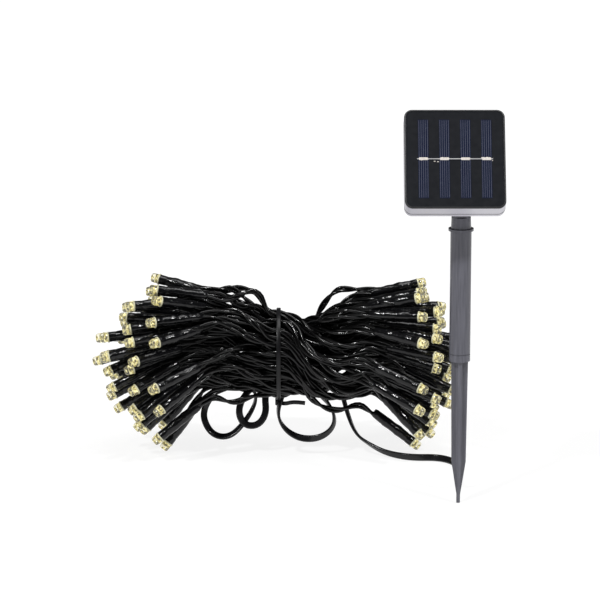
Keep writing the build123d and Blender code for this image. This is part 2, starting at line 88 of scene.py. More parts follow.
def lamp_axes(sense, reach, drop, radius):
    """Lens tips and outward directions of one end. Lamp i turns by i golden angles, and stands off the
    hank's axis by the radius times the root of its share (i + 1/2) / 50; rows of three are staggered."""
    index = np.arange(lamps_each_end)
    share = (index + 0.5) / lamps_each_end
    along = reach - drop * share - row_step * (index % 3) * (1 - share / 2)
    away = radius * np.sqrt(share)
    turn = index * golden_angle
    tips = np.stack(
        (tie_x + sense * along, hank_y + away * np.cos(turn), fan_z + away * np.sin(turn)), axis=1
    )
    outs = unit(unit(tips - apex) + rng.normal(0, lamp_turn, (lamps_each_end, 3)))
    return tips + rng.normal(0, 1.0, (lamps_each_end, 3)) * tip_stray, outs


rng = np.random.default_rng(41)
lamps = {end: lamp_axes(*shape) for end, shape in ends.items()}

# ------------------------------------------------------------------ light string: the twisted pairs
# Two stranded wires with a glossy black jacket, twisted together. The string runs from a lamp at
# one end through the tie to a lamp at the other, ninety-nine times, and folds inside each sleeve.
wire_radius = 0.00112
pair_twist = 0.036
strand_step = 0.0025
waist_half = np.array((0.0235, 0.0285))
drawn_out, against_strap = 0.87, 0.97


def line_through(points, steps=8):
    """The smooth line of a cord: an open NURBS spline of order 3 on its route's points, read back."""
    curve = bpy.data.curves.new("route", "CURVE")
    curve.dimensions = "3D"
    curve.resolution_u = steps
    spline = curve.splines.new("NURBS")
    spline.points.add(len(points) - 1)
    spline.points.foreach_set("co", np.c_[points, np.ones(len(points))].ravel())
    spline.order_u = 3
    spline.use_endpoint_u = True
    carrier = bpy.data.objects.new("route", curve)
    mesh = bpy.data.meshes.new_from_object(carrier)
    line = np.zeros(len(mesh.vertices) * 3)
    mesh.vertices.foreach_get("co", line)
    bpy.data.objects.remove(carrier)
    bpy.data.curves.remove(curve)
    bpy.data.meshes.remove(mesh)
    return line.reshape(-1, 3)


def evenly(line, step):
    """The same line with its points about one step apart."""
    along = np.r_[0.0, np.cumsum(np.linalg.norm(np.diff(line, axis=0), axis=1))]
    at = np.linspace(0.0, along[-1], int(np.ceil(along[-1] / step)) + 1)
    return np.stack([np.interp(at, along, line[:, k]) for k in range(3)], axis=1)


def frames_along(line):
    """Two directions square to a line at each of its points, carried along it without twisting:
    each step reflects the frame twice, once across the step and once to match the next tangent."""
    tangent = unit(np.gradient(line, axis=0))
    start = np.cross(tangent[0], (0.0, 0.0, 1.0) if abs(tangent[0][2]) < 0.9 else (1.0, 0.0, 0.0))
    normal = np.zeros_like(line)
    normal[0] = unit(start)
    for i in range(len(line) - 1):
        step = line[i + 1] - line[i]
        reach = step @ step
        flipped = normal[i] - 2 * (step @ normal[i]) / reach * step
        turned = tangent[i] - 2 * (step @ tangent[i]) / reach * step
        rest = tangent[i + 1] - turned
        normal[i + 1] = flipped - 2 * (rest @ flipped) / max(rest @ rest, 1e-18) * rest
    return normal, np.cross(tangent, normal)


def tube_rings(centres, radius, sides):
    """Points of a round tube: around each centre, radius times (cos, sin) in the frame carried along."""
    normal, side = frames_along(centres)
    turn = np.linspace(0.0, 2 * pi, sides, endpoint=False)
    ring = np.cos(turn)[None, :, None] * normal[:, None] + np.sin(turn)[None, :, None] * side[:, None]
    return centres[:, None] + radius * ring


def grid_faces(rows, sides, first=0, ends_meet=False):
    """Quads between neighbouring rings of a tube. Its ends are closed by one polygon each, or meet."""
    steps = rows if ends_meet else rows - 1
    ring, turn = np.arange(steps)[:, None] * sides, np.arange(sides)[None]
    next_ring = (np.arange(1, steps + 1)[:, None] % rows) * sides
    after = (turn + 1) % sides
    quads = np.stack((ring + turn, ring + after, next_ring + after, next_ring + turn), axis=-1)
    faces = (quads.reshape(-1, 4) + first).tolist()
    if not ends_meet:
        faces.append((np.arange(sides)[::-1] + first).tolist())
        faces.append((np.arange(sides) + first + (rows - 1) * sides).tolist())
    return faces


def add_piece(name, points, faces, smooth=True):
    """A new mesh object at the origin, with its place in its points."""
    mesh = bpy.data.meshes.new(name)
    mesh.from_pydata(np.asarray(points).reshape(-1, 3).tolist(), [], faces)
    mesh.polygons.foreach_set("use_smooth", [smooth] * len(mesh.polygons))
    mesh.update()
    piece = bpy.data.objects.new(name, mesh)
    scene.collection.objects.link(piece)
    return piece


def pair_mesh(name, line, radius, twist, sides=9):
    """A twisted pair about a line: two tubes whose centres stand one radius off it, half a turn apart,
    and go once round it in each length of twist. The second wire is the first turned by pi."""
    along = np.r_[0.0, np.cumsum(np.linalg.norm(np.diff(line, axis=0), axis=1))]
    normal, side = frames_along(line)
    points, faces = [], []
    for half in (0.0, pi):
        turn = (2 * pi * along / twist + half)[:, None]
        centres = line + radius * (np.cos(turn) * normal + np.sin(turn) * side)
        faces += grid_faces(len(line), sides, first=sum(len(p) for p in points))
        points.append(tube_rings(centres, radius, sides).reshape(-1, 3))
    return add_piece(name, np.concatenate(points), faces)


def ring_order(tips, rings, start):
    """Lamps in winding order: ring by ring from the middle, and round each ring by angle from a start."""
    order = []
    for low, high in rings:
        members = np.arange(low, high)
        offset = tips[members] - np.array((0.0, hank_y, fan_z))
        angle = np.arctan2(offset[:, 2], offset[:, 1])
        order += members[np.argsort((angle - start) % (2 * pi))].tolist()
    return order


def waist_places(count, rings):
    """Where the strands cross the tie: a sunflower over an ellipse, in the same winding order, with the
    outermost ones all drawn against the strap."""
    index = np.arange(count)
    away = np.sqrt((index + 0.5) / count)
    away[away > drawn_out] = against_strap
    turn = index * golden_angle
    places = np.stack((away * np.cos(turn), away * np.sin(turn)), axis=1)
    order = []
    for low, high in rings:
        members = np.arange(low, high)
        order += members[np.argsort(np.arctan2(places[members, 1], places[members, 0]))].tolist()
    return places[order] * waist_half


# between the tie and a lamp, a strand swells out sooner than it runs along
fan_shares = np.array(((0.27, 0.52, 0.60), (0.66, 0.90, 0.95)))
fan_stray = (0.0015, 0.0034, 0.0036)
# the loose side hangs lower between the tie and its lamps
fan_sag = {"left": 0.0, "right": 0.006}
# the strands lie straight this far to each side of the tie
tie_grip = 0.007
# inside a sleeve: how deep each point of the fold is, and how far to the side
fold_depths = np.array((0.050, 0.041, 0.024, 0.011))
fold_spreads = np.array((0.0022, 0.0016, 0.0014, 0.0012))
lamp_rings = ((0, 9), (9, 25), (25, 50))
strand_rings = ((0, 18), (18, 50), (50, 99))
# where each end's rings of lamps start, by angle: the right end is turned against the tie
hank_twist = {"left": -pi, "right": -pi + radians(80)}
order = {end: ring_order(lamps[end][0], lamp_rings, hank_twist[end]) for end in ends}
crossings = waist_places(2 * lamps_each_end - 1, strand_rings)


def lamp_fold(tip, out, turn):
    """A route's points where it folds in a sleeve: in along one side, across behind the lens, out along
    the other. The fold lies square to the radius, so the two pairs lie side by side at the open end."""
    side = unit(np.cross(out, (0.0, np.cos(turn), np.sin(turn))))
    inward = tip - fold_depths[:, None] * out + fold_spreads[:, None] * side
    outward = tip - fold_depths[::-1, None] * out - fold_spreads[::-1, None] * side
    return inward, outward


def string_route():
    """The whole string: for each stretch, out of one lamp's fold, over the fan, straight through the
    tie, over the other fan and into the next lamp's fold, with a few millimetres of stray."""
    stops = [stop for pair in zip(order["left"], order["right"]) for stop in zip(("left", "right"), pair)]
    folds = []
    for end, index in stops:
        tip, out = lamps[end][0][index], lamps[end][1][index]
        folds.append(lamp_fold(tip, out, rng.uniform(0, 2 * pi)))
    spans = []
    for k in range(len(stops) - 1):
        sense = ends[stops[k][0]][0]
        crossing = np.array((hank_y, waist_z)) + crossings[k]
        before, after = folds[k][1][-1], folds[k + 1][0][0]
        through = np.array([(tie_x + sense * tie_grip, *crossing), (tie_x - sense * tie_grip, *crossing)])
        near = through[0] + fan_shares * (before - through[0]) + rng.normal(0, fan_stray, (2, 3))
        far = through[1] + fan_shares * (after - through[1]) + rng.normal(0, fan_stray, (2, 3))
        near[:, 2] -= fan_sag[stops[k][0]]
        far[:, 2] -= fan_sag[stops[k + 1][0]]
        spans.append(np.vstack((folds[k][1], near[::-1], through, far, folds[k + 1][0])))
    return spans


string_spans = string_route()
string_pieces, spans_each = [], 25
for number, first in enumerate(range(0, len(string_spans), spans_each)):
    line = evenly(line_through(np.vstack(string_spans[first : first + spans_each]), 6), strand_step)
    string_pieces.append((pair_mesh(f"string_strands_{number + 1}", line, wire_radius, pair_twist), line))

# ------------------------------------------------------------------ lead: flat twin cable
# Two cores moulded side by side in one soft black jacket. It leaves the gland, hangs down behind
# the stake, lies on the floor to the hank and is looped under the tie.
cable_width = 0.0046
lead_step = 0.0018
millimetre = 0.001
tilt_joint = [j for j in frame["record"]["behaviour"]["joints"] if j["name"] == "panel_tilt"][0]
hinge_point = np.array(tilt_joint["pos_m"])
hinge_across = 0.005
face_lean = radians(30)
face_up = np.array((0.0, np.sin(face_lean), np.cos(face_lean)))
face_normal = np.array((0.0, -np.cos(face_lean), np.sin(face_lean)))
back_centre = hinge_point - (hinge_across, 0.0, 0.0) + 0.009 * face_normal + 0.018 * face_up


def on_panel(x, y, z):
    """World points from the panel's own axes: x across, y up the face, z out of it."""
    x, y, z = np.broadcast_arrays(x, y, z)
    across = x[..., None] * (1.0, 0.0, 0.0)
    return back_centre + across + y[..., None] * face_up + z[..., None] * face_normal


gland_up = 0.006
gland_exit = on_panel(hinge_across, gland_up, -0.008)
first_turn = on_panel(hinge_across, gland_up, -0.0255)
lead_points = [
    (0.4, 27.0, 182.0),
    (-0.2, 23.0, 144.0),
    (0.5, 21.5, 104.0),
    (0.0, 19.0, 62.0),
    (0.8, 20.0, 26.0),
    (1.6, 31.0, 5.0),
    (3.0, 58.0, 2.6),
    (4.0, 82.0, 2.4),
    (-7.0, 97.0, 2.4),
    (-27.0, 96.0, 2.4),
    (-43.0, 105.0, 3.0),
    (-54.0, 111.0, 7.5),
    (-63.0, 115.5, 13.0),
]
loop_points = [
    (-69.0, 120.0, 28.0),
    (-74.0, 124.0, 48.0),
    (-86.0, 122.0, 58.0),
    (-90.0, 116.0, 44.0),
    (-78.0, 112.0, 32.0),
    (-76.5, 111.0, 20.0),
    (-86.0, 111.0, 11.5),
    (-100.0, 111.0, 11.0),
    (-111.0, 112.0, 18.0),
    (-115.5, 113.0, 29.0),
    (-110.0, 116.0, 44.0),
    (-118.0, 121.0, 52.0),
    (-123.5, 117.0, 40.0),
    (-122.0, 113.0, 28.0),
    (-128.0, 112.0, 19.5),
    (-138.0, 112.0, 20.5),
    (-141.5, 114.0, 32.0),
    (-132.0, 118.0, 46.0),
    (-128.0, 120.0, 36.0),
    (-136.0, 115.0, 22.0),
    (-147.0, 111.0, 11.5),
    (-160.0, 113.0, 14.0),
    (-166.0, 118.0, 30.0),
    (-148.0, 122.0, 50.0),
    (-120.0, 122.0, 62.0),
]


def flat_cable(name, line, width, twist_at, sides=20):
    """A flat twin cable. Its section is two round lobes side by side, each a quarter of the width in
    radius: across is lobe (cos t + tanh 4 cos t), and over is lobe sin t, drawn in to the waist's share
    where the lobes meet. A slow twist, given for each point of the line, turns it."""
    waist = 0.72
    normal, side = frames_along(line)
    turn = np.linspace(0.0, 2 * pi, sides, endpoint=False)
    lobe = width / 4
    across = lobe * (np.cos(turn) + np.tanh(4 * np.cos(turn)))
    over = lobe * np.sin(turn) * (waist + (1 - waist) * np.sqrt(np.abs(np.cos(turn))))
    cos, sin = np.cos(twist_at)[:, None], np.sin(twist_at)[:, None]
    x = cos * across[None] - sin * over[None]
    y = sin * across[None] + cos * over[None]
    points = line[:, None] + x[..., None] * normal[:, None] + y[..., None] * side[:, None]
    return add_piece(name, points, grid_faces(len(line), sides))


lead_route = np.vstack((gland_exit, first_turn, millimetre * np.array(lead_points + loop_points)))
lead_line = evenly(line_through(lead_route, 10), lead_step)
lead_along = np.linspace(0, 2 * pi, len(lead_line))
lead_twist = 1.2 * np.sin(3.1 * lead_along) + 2.6 * np.sin(1.3 * lead_along + 1.0)
lead_cable = flat_cable("lead_cable", lead_line, cable_width, lead_twist)


class Value:
    """A socket in a shader: sums, differences, products and comparisons of values add Math nodes."""

    def __init__(self, finish, socket):
        self.finish = finish
        self.socket = socket

    def math(self, operation, first, second):
        return self.finish.node("ShaderNodeMath", {"operation": operation}, {0: first, 1: second})

    def __add__(self, other):
        return self.math("ADD", self, other)

    def __sub__(self, other):
        return self.math("SUBTRACT", self, other)

    def __mul__(self, other):
        return self.math("MULTIPLY", self, other)

    def __gt__(self, other):
        return self.math("GREATER_THAN", self, other)

    __radd__ = __add__
    __rmul__ = __mul__


class Finish:
    """One material with a Principled surface, whose parts are made by node()."""

    def __init__(self, name, colour, roughness, **surface):
        self.material = bpy.data.materials.new(name)
        self.material.use_nodes = True
        self.tree = self.material.node_tree
        self.surface = self.tree.nodes["Principled BSDF"]
        self.paint({"Base Color": (*colour, 1.0), "Roughness": roughness, **surface})

    def feed(self, socket, value):
        if isinstance(value, Value):
            self.tree.links.new(value.socket, socket)
        else:
            socket.default_value = value

    def node(self, kind, settings, inputs, output=0):
        """Any node: its settings first, a ramp's stops among them, then its sockets' values or links."""
        node = self.tree.nodes.new(kind)
        for name, value in settings.items():
            if name == "stops":
                elements = node.color_ramp.elements
                for place, shade in value[1:-1]:
                    elements.new(place)
                for element, (place, shade) in zip(elements, value):
                    element.position = place
                    element.color = (*shade, 1.0)
            else:
                setattr(node, name, value)
        for name, value in inputs.items():
            self.feed(node.inputs[name], value)
        return Value(self, node.outputs[output])

    def paint(self, inputs):
        for name, value in inputs.items():
            self.feed(self.surface.inputs[name], value)

    def noise(self, scale, detail=3.0, stretch=(1.0, 1.0, 1.0)):
        """Cloudy noise over the piece's own metres, finer where stretch is larger."""
        place = self.node("ShaderNodeTexCoord", {}, {}, "Object")
        place = self.node("ShaderNodeMapping", {}, {"Vector": place, "Scale": stretch})
        return self.node("ShaderNodeTexNoise", {}, {"Vector": place, "Scale": scale, "Detail": detail})

    def ramp(self, value, stops):
        return self.node("ShaderNodeValToRGB", {"stops": stops}, {"Fac": value})

    def mix(self, share, first, second):
        """Two colours mixed by a share."""
        colours = [c if isinstance(c, Value) else (*c, 1.0) for c in (first, second)]
        return self.node(
            "ShaderNodeMix", {"data_type": "RGBA"}, {0: share, 6: colours[0], 7: colours[1]}, 2
        )

    def bump(self, height, distance, strength=1.0):
        self.paint(
            {
                "Normal": self.node(
                    "ShaderNodeBump", {}, {"Height": height, "Distance": distance, "Strength": strength}
                )
            }
        )

    def on(self, *pieces):
        for piece in pieces:
            piece.data.materials.clear()
            piece.data.materials.append(self.material)


wire_jacket = Finish("wire_jacket", (0.002, 0.002, 0.003), 0.3, **{"Specular IOR Level": 0.32})
scuff = wire_jacket.noise(180.0)
wire_jacket.paint({"Roughness": 0.12 + 0.12 * scuff})
wire_jacket.paint({"Base Color": wire_jacket.mix(scuff, (0.0008, 0.0008, 0.001), (0.003, 0.003, 0.003))})
wire_jacket.bump(wire_jacket.noise(260.0), 0.0002, 0.04)

lead_jacket = Finish("lead_jacket", (0.004, 0.004, 0.005), 0.3, **{"Specular IOR Level": 0.34})
scuff = lead_jacket.noise(140.0)
lead_jacket.paint({"Roughness": 0.14 + 0.2 * scuff})
lead_jacket.paint({"Base Color": lead_jacket.mix(scuff, (0.003, 0.003, 0.004), (0.009, 0.009, 0.010))})
lead_jacket.bump(lead_jacket.noise(300.0), 0.0002, 0.3)

for piece, line in string_pieces:
    wire_jacket.on(piece)
lead_jacket.on(lead_cable)

# ------------------------------------------------------------------ lamp sleeves
# Black heat-shrink tube over each lamp's solder joints. It hugs the lamp's rim, steps down behind it,
# bulges over two joints, one per wire, and stands open at the back where the four wires come out.
sleeve_start = 0.0052
sleeve_radius, sleeve_taper, taper_from = 0.00338, 0.0125, 0.012
groove_at, groove_depth, groove_width = 0.0056, 0.00032, 0.0007
joint_places, joint_strays, joint_width = (0.0125, 0.0225), (0.0008, 0.0010), 0.0021
joint_heights = ((0.00030, 0.00062), (0.00020, 0.00050))
step_from, step_depth = 0.0318, 0.00035
oval_share, ripple_share = 0.00014, 0.00007
tube_wall, mouth_radius = 0.0006, 0.0026


def on_lamps(tips, outs, depth, radius, turn_count):
    """Points of a turned shape on every lamp at once: depth in from the tip along the lamp's axis, and
    radius times (cos, sin) of the turn square to it. Depth and radius are (lamps, rows, turns) arrays."""
    side = unit(np.cross(outs, (0.0, 0.0, 1.0)))
    other = np.cross(side, outs)
    turn = np.linspace(0.0, 2 * pi, turn_count, endpoint=False)
    ring = np.cos(turn)[:, None] * side[:, None, None] + np.sin(turn)[:, None] * other[:, None, None]
    return tips[:, None, None] - depth[..., None] * outs[:, None, None] + radius[..., None] * ring


def turned_piece(name, end, profile, turn_count):
    """The same turned profile, given as (depth, radius) rows, on each lamp of one end."""
    tips, outs = lamps[end]
    rows = np.array(profile)
    shape = (len(tips), len(rows), turn_count)
    depth = np.broadcast_to(rows[None, :, 0, None], shape)
    radius = np.broadcast_to(rows[None, :, 1, None], shape)
    points = on_lamps(tips, outs, depth, radius, turn_count)
    faces = []
    for lamp in range(len(tips)):
        faces += grid_faces(len(rows), turn_count, first=lamp * len(rows) * turn_count)
    return add_piece(name, points, faces)


def shrunk_sleeves(name, end, turn_count=12):
    """Shrink tube on each lamp of one end. The radius falls slowly from rim to back, with a groove behind
    the rim, two rounded bulges at seeded places that lean to one side, an oval share of cos(2 turn), and a
    stepped back; the last rows turn back inside so the open end has a wall."""
    tips, outs = lamps[end]
    count = len(tips)
    front = (0.0, 0.0004, 0.0012, 0.0048, groove_at, 0.0064)
    along = np.r_[front, np.linspace(0.0085, 0.0315, 12), 0.0322, sleeve_length]
    inside = np.array((0.0329, 0.0290))
    draw = np.random.default_rng(7 + len(end))
    place = np.stack([draw.normal(at, stray, count) for at, stray in zip(joint_places, joint_strays)])
    height = np.stack([draw.uniform(low, high, count) for low, high in joint_heights])
    lean = draw.uniform(0, 2 * pi, (2, count))
    phase = draw.uniform(0, 2 * pi, count)[:, None, None]
    turn = np.linspace(0.0, 2 * pi, turn_count, endpoint=False)[None, None]
    s = along[None, :, None]
    radius = sleeve_radius - sleeve_taper * np.maximum(s - taper_from, 0)
    radius = radius - groove_depth * np.exp(-(((s - groove_at) / groove_width) ** 2))
    radius = radius - step_depth * (s > step_from)
    for k in (0, 1):
        bulge = np.exp(-(((s - place[k][:, None, None]) / joint_width) ** 2))
        sided = 0.75 + 0.45 * np.cos(turn - lean[k][:, None, None])
        radius = radius + height[k][:, None, None] * bulge * sided
    radius = radius + oval_share * np.cos(2 * turn + phase) * np.clip(s / 0.01, 0, 1)
    ripple = ripple_share * np.sin(s * 1900 + 3 * turn + 5 * phase)
    radius = radius + ripple * (s > 0.007) * (s < 0.031)
    mouth = np.full((count, 1, turn_count), mouth_radius)
    inner = np.broadcast_to(radius[:, -1:] - tube_wall, (count, len(inside), turn_count))
    radius = np.concatenate((mouth, radius, inner), axis=1)
    depth = sleeve_start + np.r_[0.0002, along, inside]
    depth = np.broadcast_to(depth[None, :, None], radius.shape)
    points = on_lamps(tips, outs, depth, radius, turn_count)
    rows = radius.shape[1]
    faces = []
    for lamp in range(count):
        faces += grid_faces(rows, turn_count, first=lamp * rows * turn_count)
    return add_piece(name, points, faces)


sleeves = {end: shrunk_sleeves(f"shrink_sleeves_{end}", end) for end in ends}
shrink_tube = Finish("shrink_tube", (0.002, 0.002, 0.003), 0.2, **{"Specular IOR Level": 0.36})
crease = shrink_tube.noise(260.0)
shrink_tube.paint({"Roughness": 0.07 + 0.16 * crease})
shrink_tube.paint({"Base Color": shrink_tube.mix(crease, (0.0008, 0.0008, 0.001), (0.003, 0.003, 0.004))})
shrink_tube.bump(crease, 0.0008, 0.6)
shrink_tube.on(*sleeves.values())

# ------------------------------------------------------------------ lamp lenses
# A clear epoxy lens with a hollow, cone-shaped front that throws the light sideways, moulded round a
# yellow phosphor cup, with a pale rim where it meets the sleeve.
lens_profile = [
    (0.0060, 0.0005),
    (0.0060, 0.0032),
    (0.0050, 0.00345),
    (0.0046, 0.00322),
    (0.0018, 0.00316),
    (0.0008, 0.00296),
    (0.0002, 0.00255),
    (0.0000, 0.00210),
    (0.0003, 0.00175),
    (0.0012, 0.00110),
    (0.0019, 0.00015),
]
cup_profile = [
    (0.0058, 0.0004),
    (0.0057, 0.0028),
    (0.0044, 0.0028),
    (0.0034, 0.0026),
    (0.0027, 0.0018),
    (0.0024, 0.0002),
]
rim_profile = [
    (0.0060, 0.00310),
    (0.0059, 0.00366),
    (0.0053, 0.00370),
    (0.0050, 0.00350),
    (0.0051, 0.00300),
]
lenses = {end: turned_piece(f"lamp_lenses_{end}", end, lens_profile[::-1], 14) for end in ends}
cups = {end: turned_piece(f"phosphor_cups_{end}", end, cup_profile[::-1], 10) for end in ends}
rims = {end: turned_piece(f"lens_rims_{end}", end, rim_profile[::-1], 14) for end in ends}

clear_epoxy = Finish("clear_epoxy", (1.0, 0.97, 0.80), 0.03, **{"Transmission Weight": 0.9, "IOR": 1.42})
clear_epoxy.on(*lenses.values())
phosphor = Finish("phosphor", (0.80, 0.72, 0.26), 0.5, **{"Emission Strength": 0.5})
# The cup glows with the lamp's own light; its dark olive patches are painted shade, standing in for the
# dark arcs that the hollow tip refracts.
refraction_shade_grain = phosphor.noise(520.0)
phosphor_glow_and_shade_stops = [(0.41, (0.06, 0.05, 0.02)), (0.48, (0.56, 0.48, 0.15)), (0.60, (0.95, 0.90, 0.58))]
phosphor.paint({"Base Color": phosphor.ramp(refraction_shade_grain, phosphor_glow_and_shade_stops)})
phosphor.paint({"Emission Color": phosphor.ramp(refraction_shade_grain, phosphor_glow_and_shade_stops)})
phosphor.on(*cups.values())
pale_rim = Finish("pale_rim", (0.62, 0.60, 0.42), 0.3)
pale_rim.paint({"Base Color": pale_rim.mix(pale_rim.noise(400.0), (0.42, 0.40, 0.22), (0.80, 0.78, 0.58))})
pale_rim.on(*rims.values())

for end in ends:
    for piece in (sleeves[end], lenses[end], cups[end], rims[end]):
        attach(piece, "pole")
    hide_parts(f"led_sleeves_{end}")
    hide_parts(f"led_lenses_{end}")
    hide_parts(f"led_frames_{end}")


# the strands go on the pole's body once their lamps are on them
for piece, line in string_pieces:
    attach(piece, "pole")
    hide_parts("string_hank")

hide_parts("lead_drop", "lead_floor", "lead_loops")
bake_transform(lead_cable)

# ------------------------------------------------------------------ cable tie
# A nylon strap drawn tight round the hank's middle. Its toothed end runs through the square head
# under the hank, and the tail sticks out to one side where it was left uncut.
strap_half = np.array((0.0014, 0.00055))
waist_outer = np.array((0.0250, 0.0298))


def soft_square(half, power, sides=16):
    """A rounded rectangle: half sizes times the powers of cos and sin of the turn."""
    turn = np.linspace(0.0, 2 * pi, sides, endpoint=False)
    wave = np.stack((np.cos(turn), np.sin(turn)), axis=1)
    return half * np.sign(wave) * np.abs(wave) ** power


def swept(name, centres, across, over, section, ends_meet=False):
    """A section carried along centres: its first number goes across and its second over, at each place."""
    section = np.broadcast_to(section, (len(centres), *np.shape(section)[-2:]))
    points = (
        centres[:, None]
        + section[..., :1] * across[:, None]
        + section[..., 1:] * over[:, None]
    )
    return add_piece(name, points, grid_faces(len(centres), section.shape[1], ends_meet=ends_meet))


round_waist = np.linspace(0.0, 2 * pi, 72, endpoint=False)
waist_way = np.stack((0 * round_waist, np.cos(round_waist), np.sin(round_waist)), axis=1)
strap_line = np.array((tie_x, hank_y, waist_z)) + waist_way * (1.0, *(waist_outer + strap_half[1]))
strap_out = unit(waist_way / (1.0, *waist_outer))
along_x = np.broadcast_to((1.0, 0.0, 0.0), strap_line.shape)
tie_strap = swept("tie_strap", strap_line, along_x, strap_out, soft_square(strap_half, 0.4), True)

head_centre = np.array((tie_x, hank_y - 0.002, waist_z - waist_outer[1] - 0.0022))
head_rows = np.array((0.0, 0.0004, 0.0040, 0.0044))[:, None] - 0.0022
head_size = np.array((0.86, 1.0, 1.0, 0.86))[:, None, None]
tie_head = swept(
    "tie_head",
    head_centre + head_rows * (0.0, 0.0, 1.0),
    np.broadcast_to((1.0, 0.0, 0.0), (4, 3)),
    np.broadcast_to((0.0, 1.0, 0.0), (4, 3)),
    head_size * soft_square(np.array((0.0024, 0.0028)), 0.35),
)
tail_points = head_centre + np.array(
    ((0.0, -0.001, 0.0), (0.003, -0.004, -0.001), (0.010, -0.006, 0.0015), (0.0175, -0.0065, 0.0005))
)
tail_line = evenly(line_through(tail_points), 0.0008)
tail_normal, tail_side = frames_along(tail_line)
tie_tail = swept("tie_tail", tail_line, tail_normal, tail_side, soft_square(strap_half[::-1], 0.4, 12))
for piece in (tie_strap, tie_head, tie_tail):
    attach(piece, "pole")
    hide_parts("cable_tie")
tie_nylon = Finish("tie_nylon_finish", (0.004, 0.004, 0.005), 0.35, **{"Specular IOR Level": 0.3})
nylon_cloud = tie_nylon.noise(400.0)
tie_nylon.paint({"Base Color": tie_nylon.mix(nylon_cloud, (0.002, 0.002, 0.003), (0.006, 0.006, 0.007))})
tie_nylon.paint({"Roughness": 0.28 + 0.14 * nylon_cloud})
tie_nylon.on(tie_strap, tie_head, tie_tail)

# ------------------------------------------------------------------ solar panel: cell lines and solder
# Each cell is a narrow strip of blue-black silicon with fine silver fingers printed along it. A tinned
# ribbon crosses all four, soldered to two pads on each cell's sides.
cell_spacing = 0.0129
cell_length = 0.051
laminate_top = 0.02115


def bars(name, centres, sizes):
    """Small boxes on the panel: each centre plus half its size times the eight corner signs."""
    centres, sizes = np.atleast_2d(centres), np.broadcast_to(sizes, np.atleast_2d(centres).shape)
    signs = np.array([(x, y, z) for z in (-1, 1) for y in (-1, 1) for x in (-1, 1)])
    corners = centres[:, None] + 0.5 * sizes[:, None] * signs
    sides = np.array(((0, 2, 3, 1), (4, 5, 7, 6), (0, 1, 5, 4), (2, 6, 7, 3), (0, 4, 6, 2), (1, 3, 7, 5)))
    faces = (sides[None] + 8 * np.arange(len(centres))[:, None, None]).reshape(-1, 4).tolist()
    points = on_panel(corners[..., 0], corners[..., 1], corners[..., 2])
    return add_piece(name, points, faces, smooth=False)


cell_x = (np.arange(4) - 1.5) * cell_spacing
finger_x = (cell_x[:, None] + np.linspace(-0.0026, 0.0026, 5)[None]).ravel()
cell_top = 0.02125
finger_z = np.full_like(finger_x, cell_top + 0.000012)
fingers = bars(
    "cell_fingers",
    np.stack((finger_x, np.zeros_like(finger_x), finger_z), axis=1),
    (0.00016, cell_length - 0.001, 0.00004),
)

def round_beads(name, centres, halves, rings=7, sides=10):
    """Closed ellipsoids on the panel: centre plus half size times (cos a cos b, cos a sin b, sin a)."""
    rise = np.linspace(-pi / 2, pi / 2, rings + 2)[1:-1, None]
    turn = np.linspace(0.0, 2 * pi, sides, endpoint=False)[None]
    flat = (np.cos(rise) * np.cos(turn), np.cos(rise) * np.sin(turn))
    ball = np.stack((*flat, np.sin(rise) * np.ones_like(turn)), axis=-1)
    spots = centres[:, None, None] + halves[:, None, None] * ball[None]
    faces = []
    for k in range(len(centres)):
        faces += grid_faces(rings, sides, first=k * rings * sides)
    return add_piece(name, on_panel(spots[..., 0], spots[..., 1], spots[..., 2]), faces)


draw = np.random.default_rng(12)
beads_each = 3
bead_count = beads_each * len(cell_x)
bead_x = np.repeat(cell_x, beads_each) + draw.uniform(-0.0024, 0.0024, bead_count)
bead_y = draw.uniform(-0.0007, 0.0007, bead_count)
bead_z = np.full(bead_count, laminate_top + 0.00026)
bead_half = draw.uniform((0.0005, 0.0003, 0.00008), (0.0011, 0.0006, 0.00018), (bead_count, 3))
stray_half = np.full((3, 3), (0.0006, 0.0003, 0.0001))
stray_beads = [(-0.0125, -0.0016, cell_top), (-0.0105, -0.0019, cell_top), (0.0226, -0.0011, laminate_top)]
beads = round_beads(
    "solder_beads",
    np.vstack((np.stack((bead_x, bead_y, bead_z), axis=1), stray_beads)),
    np.vstack((bead_half, stray_half)),
)

# the foam seal shows as a dark line where the front shell meets the rear cover
panel_half = np.array((0.031, 0.032))
seam_corner, seam_depth, corner_steps = 0.005, 0.010, 9
corner_turn = np.linspace(0.0, pi / 2, corner_steps)
outline = np.concatenate(
    [
        (panel_half - seam_corner) * signs
        + seam_corner * np.stack((np.cos(corner_turn + start), np.sin(corner_turn + start)), axis=1)
        for signs, start in (((1, 1), 0), ((-1, 1), pi / 2), ((-1, -1), pi), ((1, -1), 3 * pi / 2))
    ]
)
seam_section = np.array(((-0.0006, -0.0003), (-0.0006, 0.0003), (0.00012, 0.0003), (0.00012, -0.0003)))
out_from_corner = outline / np.abs(outline) * 0.7
seam_xy = outline[:, None] + seam_section[None, :, :1] * out_from_corner[:, None]
seam_z = np.broadcast_to(seam_depth + seam_section[None, :, 1], seam_xy.shape[:2])
seam = add_piece(
    "housing_seam",
    on_panel(seam_xy[..., 0], seam_xy[..., 1], seam_z),
    grid_faces(len(outline), len(seam_section), ends_meet=True),
    smooth=False,
)
for piece, slot in ((fingers, "solder"), (beads, "solder"), (seam, "gasket_rubber")):
    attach(piece, "panel")
printed_silver = Finish("printed_silver", (0.07, 0.08, 0.13), 0.4)
silver_cloud = printed_silver.noise(500.0)
printed_silver.paint(
    {"Base Color": printed_silver.mix(silver_cloud, (0.045, 0.055, 0.10), (0.085, 0.10, 0.16))}
)
printed_silver.on(fingers)
